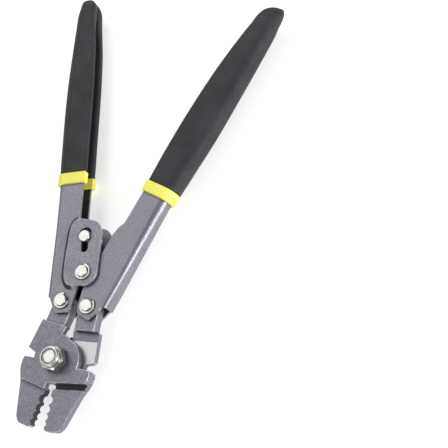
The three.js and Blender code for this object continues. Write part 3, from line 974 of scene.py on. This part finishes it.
def grip_outline(side, v):
    """The grip at a place along the handle: its inner and outer edge and half its thickness."""
    u, _ = along(SPINE[side], v)
    inner = along(GRIP_EDGE[side], min(v, TIP_FROM))[0]
    top = GRIP_TOP[side]
    past = max(0.0, (v - TIP_FROM) / (top - TIP_FROM))
    round_end = math.sqrt(max(0.0, 1 - past**TIP_ROUNDNESS))
    middle = u + GRIP_SKIN - TIP_OFFSET
    inner = middle - (middle - inner) * round_end
    outer = middle + TIP_OFFSET * round_end - PINCH * math.exp(-(((v - PINCH_AT) / PINCH_LONG) ** 2))
    nose = max(0.0, (v - NOSE_FROM) / (top - NOSE_FROM))
    half = (CHANNEL_HALF + GRIP_SKIN) * math.sqrt(max(0.0, 1 - nose**NOSE_ROUNDNESS))
    return inner, outer, half


def grip(side):
    """The dipped grip, as rings along the handle. Each ring is a thick C with soft ends.

    The C's hollow gets shallower towards the end, where the grip is closed."""
    rings = []
    for v in grip_stations(GRIP_TOP[side]):
        inner, outer, half = grip_outline(side, v)
        corner = min(half, (outer - inner) / 2, CORNER + GRIP_SKIN) - 0.01
        lip = min(LIP_RADIUS, half / 3, (outer - inner) / 4)
        closing = min(1.0, max(0.0, (v - CREASE_FADES) / (CREASE_ENDS - CREASE_FADES)))
        space = (half - 2 * lip) * (1 - closing) + 0.05 * closing
        full = outer - GRIP_SKIN - SHEET - INNER_SKIN - inner
        deep = full * (1 - closing) ** 0.7 + 0.4 * lip * closing
        soft = min(space, deep / 2) * 0.9
        upper = [
            *arc(outer - corner, half - corner, corner, 0, 90, 8),
            *arc(inner + lip, half - lip, lip, 90, 180, 6),
            *arc(inner + lip, space + lip, lip, 180, 270, 6),
            *arc(inner + deep - soft, space - soft, soft, 90, 0, 6),
        ]
        lower = [(u, -z) for u, z in reversed(upper)]
        rings.append([(u, v, z) for u, z in upper + lower])
    return loft(rings)


def grip_stations(top):
    """Places along the grip: even along its length and closer together round both ends."""
    start = [GRIP_FROM + d for d in (0, 0.5)]
    steps = 34
    even = [GRIP_FROM + 2 + (NOSE_FROM - GRIP_FROM - 2) * k / steps for k in range(steps)]
    reach = top - NOSE_FROM
    nose = [NOSE_FROM + reach * math.sin(math.radians(a)) for a in range(0, 90, 4)]
    return [*start, *even, *nose, top - 0.02]


def band(side):
    """The yellow band: a little proud of the grip outside, and lining the channel inside."""
    near = BAND_EDGE[side]
    low, high = BAND_FROM - 5, BAND_TO + 5
    corners = [(near, low), (FAR, low), (FAR, high), (near, high)]
    outline = plate([Vector(p) for p in corners], -REACH, REACH)
    shell = bar(side, GRIP_SKIN + 0.2, BAND_FROM, BAND_TO, -2, station=2.5)
    space = bar(side, -SHEET - INNER_SKIN, BAND_FROM - 3, BAND_TO + 3, OPEN_SIDE)
    return soften(carve(shell, ("INTERSECT", outline), ("DIFFERENCE", space)), 0.9, 4)


def make_handles():
    """The steel, grip and band of both handles."""
    steel = {"left": left_steel, "right": right_steel}
    coats = [PRESSED, SHADE_IN_CHANNEL, SHADED_BEND_COAT]
    soft = 50
    for side, place in HANDLES.items():
        finish_of = handle_finish(side)
        piece(f"{side}_handle_fine", steel[side](), place, f"handle_{side}", coats, finish_of)
        piece(f"{side}_grip_fine", grip(side), place, f"grip_{side}", [VINYL], smooth=soft)
        node = f"grip_band_{side}"
        piece(f"{side}_band_fine", band(side), place, node, [YELLOW], smooth=soft)


# ---- Pins and clips ----
def domed(r, end, edge=0.5):
    """The profile of a pin's end: a rounded edge and a slightly crowned face, in to the axis."""
    turn = [(r - edge + edge * math.cos(a), end - edge + edge * math.sin(a)) for a in (0, 0.4, 0.8, 1.2)]
    return [*turn, (r * 0.5, end - 0.02), (0, end)]


def mirrored(half):
    """A whole profile from its front half."""
    return [(r, -z) for r, z in reversed(half)] + half


def grooved_pin(node, bearing):
    """A pin with a groove for a clip just past the face that the clip bears on, at both ends."""
    g0 = bearing + FACE_GAP
    g1 = bearing + CLIP_THICK + 2 * FACE_GAP
    groove = [(PIN_R, g0), (GROOVE_R, g0), (GROOVE_R, g1), (PIN_R, g1)]
    return turned(mirrored([*groove, *domed(PIN_R, half_height(node))]))


def clip(z0, turn):
    """An E-clip: a ring open on one side, with three prongs that reach in to the pin's groove."""
    half_gap, prong, relief = 39, 2.95, 3.65
    prong_wide, prong_slope = 15, 8
    outer = arc(0, 0, CLIP_R, half_gap, 360 - half_gap, 44)
    inner = []
    steps = 60
    for k in range(steps + 1):
        angle = 360 - half_gap - (360 - 2 * half_gap) * k / steps
        near = min(abs(angle - stop) for stop in (half_gap, 180, 360 - half_gap))
        r = prong + (relief - prong) * min(1, max(0, (near - prong_wide) / prong_slope))
        inner.append((r * math.cos(math.radians(angle)), r * math.sin(math.radians(angle))))
    soft = 0.18
    bm = plate([Vector(p) for p in outer + inner], z0, z0 + CLIP_THICK, top=soft, bottom=soft, segments=2)
    bmesh.ops.rotate(bm, verts=bm.verts, matrix=Matrix.Rotation(math.radians(turn), 3, "Z"))
    return bm


def make_pin(place, pin_node, clip_nodes, bearing, uv, turn):
    """A pin at (u, v) on a handle, and its two clips, which stand a little off the faces they bear on."""
    at = place @ Matrix.Translation((*uv, 0))
    piece(f"{pin_node}_fine", grooved_pin(pin_node, bearing), at, pin_node, [ZINC])
    front = bearing + FACE_GAP * 1.5
    for node, z0 in zip(clip_nodes, (front, -front - CLIP_THICK)):
        piece(f"{node}_fine", clip(z0, turn), at, node, [ZINC])


# How far each clip's opening is turned, in degrees within its handle.
CLIP_TURN = {"left": 149.5, "right": 104.5, "handle pin": 59.5}


def make_pins():
    """The two jaw pins and the handle pin, each with its clips."""
    for side, place in HANDLES.items():
        clips = [f"jaw_pin_clip_{side}_front", f"jaw_pin_clip_{side}_back"]
        make_pin(place, f"jaw_pin_{side}", clips, CHANNEL_HALF, JAW_PIN_UV, CLIP_TURN[side])
    clips = ["handle_pin_clip_front", "handle_pin_clip_back"]
    make_pin(LEFT_HANDLE, "handle_pin", clips, EAR_OUTER, (0, 0), CLIP_TURN["handle pin"])


# ---- Lock ----
def make_lock():
    """The lock pin, necked where it runs in the keyhole, and its sleeve between the ears."""
    at = LEFT_HANDLE @ Matrix.Translation((*LOCK_UV, 0))
    neck, shaft, head = 2.0, 3.0, 3.5
    sleeve_outer, sleeve_inner = 4.6, 3.2
    end = half_height("lock_pin")
    under = EAR_OUTER + FACE_GAP
    inside = EAR_INNER - 2 * FACE_GAP
    half = [(shaft, inside), (neck, inside), (neck, under), (head, under), *domed(head, end)]
    piece("lock_pin_fine", turned(mirrored(half)), at, "lock_pin", [ZINC])
    long = half_height("lock_sleeve")
    sleeve = ring_of(sleeve_outer, sleeve_inner, -long, long, 0.5)
    piece("lock_sleeve_fine", sleeve, at, "lock_sleeve", [RED])


# ---- Pivot bolt ----
HEAD_UNDER = -HUB_HALF - 2 * FACE_GAP - WASHER_HIGH
NUT_FROM = HUB_HALF + FACE_GAP
COLLAR_R = 6.0
COLLAR_HIGH = 2.9
COLLAR_LIP = 1.0
INSERT_R = 4.7
# How far a solid runs past another that it joins or cuts.
OVERLAP = 1


def pivot_bolt():
    """The bolt: a hex head with a chamfered crown, and a plain shank."""
    head = HEAD_UNDER - HEAD_HIGH
    chamfer, chamfer_high = 1.1, 0.6
    crown = turned(
        [
            (0, head),
            (HEX_CORNER - chamfer, head),
            (HEX_CORNER, head + chamfer_high),
            (HEX_CORNER, HEAD_UNDER),
            (0, HEAD_UNDER),
        ]
    )
    hexagon = hex_prism(head - OVERLAP, HEAD_UNDER + OVERLAP)
    crown = soften(carve(crown, ("INTERSECT", hexagon)), 0.12, 2)
    root = HEAD_UNDER - OVERLAP
    end = heights("pivot_bolt")[1]
    tip = 0.9
    shank = turned([(0, root), (BOLT_R, root), (BOLT_R, end - tip), *domed(BOLT_R, end, tip)])
    return carve(crown, ("UNION", shank))


def nut_blank(shoulder):
    """The nut's hexagon up to its shoulder, chamfered at both ends."""
    foot, foot_high = 0.7, 0.4
    chamfer_high, flare = 0.9, 0.4
    blank = turned(
        [
            (0, NUT_FROM),
            (HEX_CORNER - foot, NUT_FROM),
            (HEX_CORNER, NUT_FROM + foot_high),
            (HEX_CORNER, shoulder - chamfer_high),
            (COLLAR_R + flare, shoulder),
            (0, shoulder),
        ]
    )
    hexagon = hex_prism(NUT_FROM - OVERLAP, shoulder + OVERLAP)
    return soften(carve(blank, ("INTERSECT", hexagon)), 0.15, 2)


def pivot_nut():
    """The lock nut: a hexagon with a rolled collar, hollow for the bolt and the nylon insert."""
    top = heights("pivot_nut")[1]
    shoulder = top - COLLAR_HIGH
    foot, foot_high = 0.3, 0.4
    rim = arc(COLLAR_R - COLLAR_LIP, top - COLLAR_LIP, COLLAR_LIP, 0, 90, 6)
    root = shoulder - OVERLAP
    side = [(COLLAR_R + foot, root), (COLLAR_R, shoulder + foot_high)]
    roll = turned([(0, root), *side, *rim, (0, top)])
    return carve(
        nut_blank(shoulder),
        ("UNION", roll),
        ("DIFFERENCE", rod(0, 0, INSERT_R + 0.05, shoulder + 0.5, top + OVERLAP)),
        ("DIFFERENCE", rod(0, 0, BOLT_R + SIDE_GAP, NUT_FROM - OVERLAP, top + 2 * OVERLAP)),
    )


def make_pivot():
    """The bolt, washer, nut and insert of the main pivot."""
    piece("pivot_bolt_fine", pivot_bolt(), ON_PIVOT, "pivot_bolt", [ZINC])
    washer = ring_of(WASHER_R, BOLT_R + SIDE_GAP, HEAD_UNDER + FACE_GAP, -HUB_HALF - FACE_GAP, 0.25)
    piece("bolt_washer_fine", washer, ON_PIVOT, "bolt_washer", [ZINC])
    piece("pivot_nut_fine", pivot_nut(), ON_PIVOT, "pivot_nut", [ZINC])
    insert = ring_of(INSERT_R, BOLT_R + 0.1, *heights("nut_insert"), 0.3)
    piece("nut_insert_fine", insert, ON_PIVOT, "nut_insert", [NYLON])


# ---- Stage, camera and lights ----
def make_floor():
    """A plain white floor just under the tool, which glows a little, so that it reads as white paper."""
    below = 0.0002
    bm = bmesh.new()
    bmesh.ops.create_grid(bm, x_segments=2, y_segments=2, size=4.0)
    mesh = bpy.data.meshes.new("floor")
    bm.to_mesh(mesh)
    bm.free()
    floor = bpy.data.objects.new("floor", mesh)
    floor.location.z = cad_box[0].z - below
    glow = {"Emission_Color": (1, 1, 1, 1), "Emission_Strength": 0.55}
    material, *_ = new_material("floor_white", (0.8, 0.8, 0.8), 0.9, 0.0, **glow)
    mesh.materials.append(material)
    bpy.context.scene.collection.objects.link(floor)


def make_camera():
    """The photograph's viewpoint: above the nut and to its right, rolled so that the handles point up."""
    camera = bpy.data.objects.new("camera", bpy.data.cameras.new("camera"))
    camera.data.sensor_width = 36
    camera.data.lens = 80.3
    camera.data.clip_start = 0.01
    back = Vector((0.4061, -0.2872, 0.8675)).normalized()
    right = Vector((-0.1412, 0.9182, 0.3701)).cross(back).normalized()
    up = back.cross(right)
    turn = Matrix((right, up, back)).transposed().to_4x4()
    camera.matrix_world = Matrix.Translation(PIVOT + Vector((0.303, -0.0654, 0.4904))) @ turn
    bpy.context.scene.collection.objects.link(camera)
    bpy.context.scene.camera = camera


def make_light(name, at, size, power):
    """A round soft box that faces the middle of the tool."""
    lamp = bpy.data.lights.new(name, "AREA")
    lamp.shape = "DISK"
    lamp.size = size
    lamp.energy = power
    light = bpy.data.objects.new(name, lamp)
    light.location = at
    aim = Vector((0, 0.1, 0)) - Vector(at)
    light.rotation_mode = "QUATERNION"
    light.rotation_quaternion = aim.to_track_quat("-Z", "Y")
    bpy.context.scene.collection.objects.link(light)


def make_lights():
    """One large soft box overhead, smaller ones to the sides, and plain dim surroundings."""
    make_light("overhead", (-0.62, 0.2, 1.0), 0.9, 2.7)
    make_light("right", (1.0, 0.0, 0.35), 0.5, 8.0)
    make_light("left", (-0.6, 1.1, 0.9), 0.5, 6.0)
    make_light("front", (-0.1, -0.9, 0.6), 0.5, 2.0)
    world = bpy.data.worlds.new("studio")
    world.use_nodes = True
    world.node_tree.nodes["Background"].inputs["Color"].default_value = (1, 1, 1, 1)
    world.node_tree.nodes["Background"].inputs["Strength"].default_value = 0.28
    bpy.context.scene.world = world
    bpy.context.scene.view_settings.view_transform = "Standard"


make_jaws()
make_handles()
make_pins()
make_lock()
make_pivot()
make_floor()
make_camera()
make_lights()
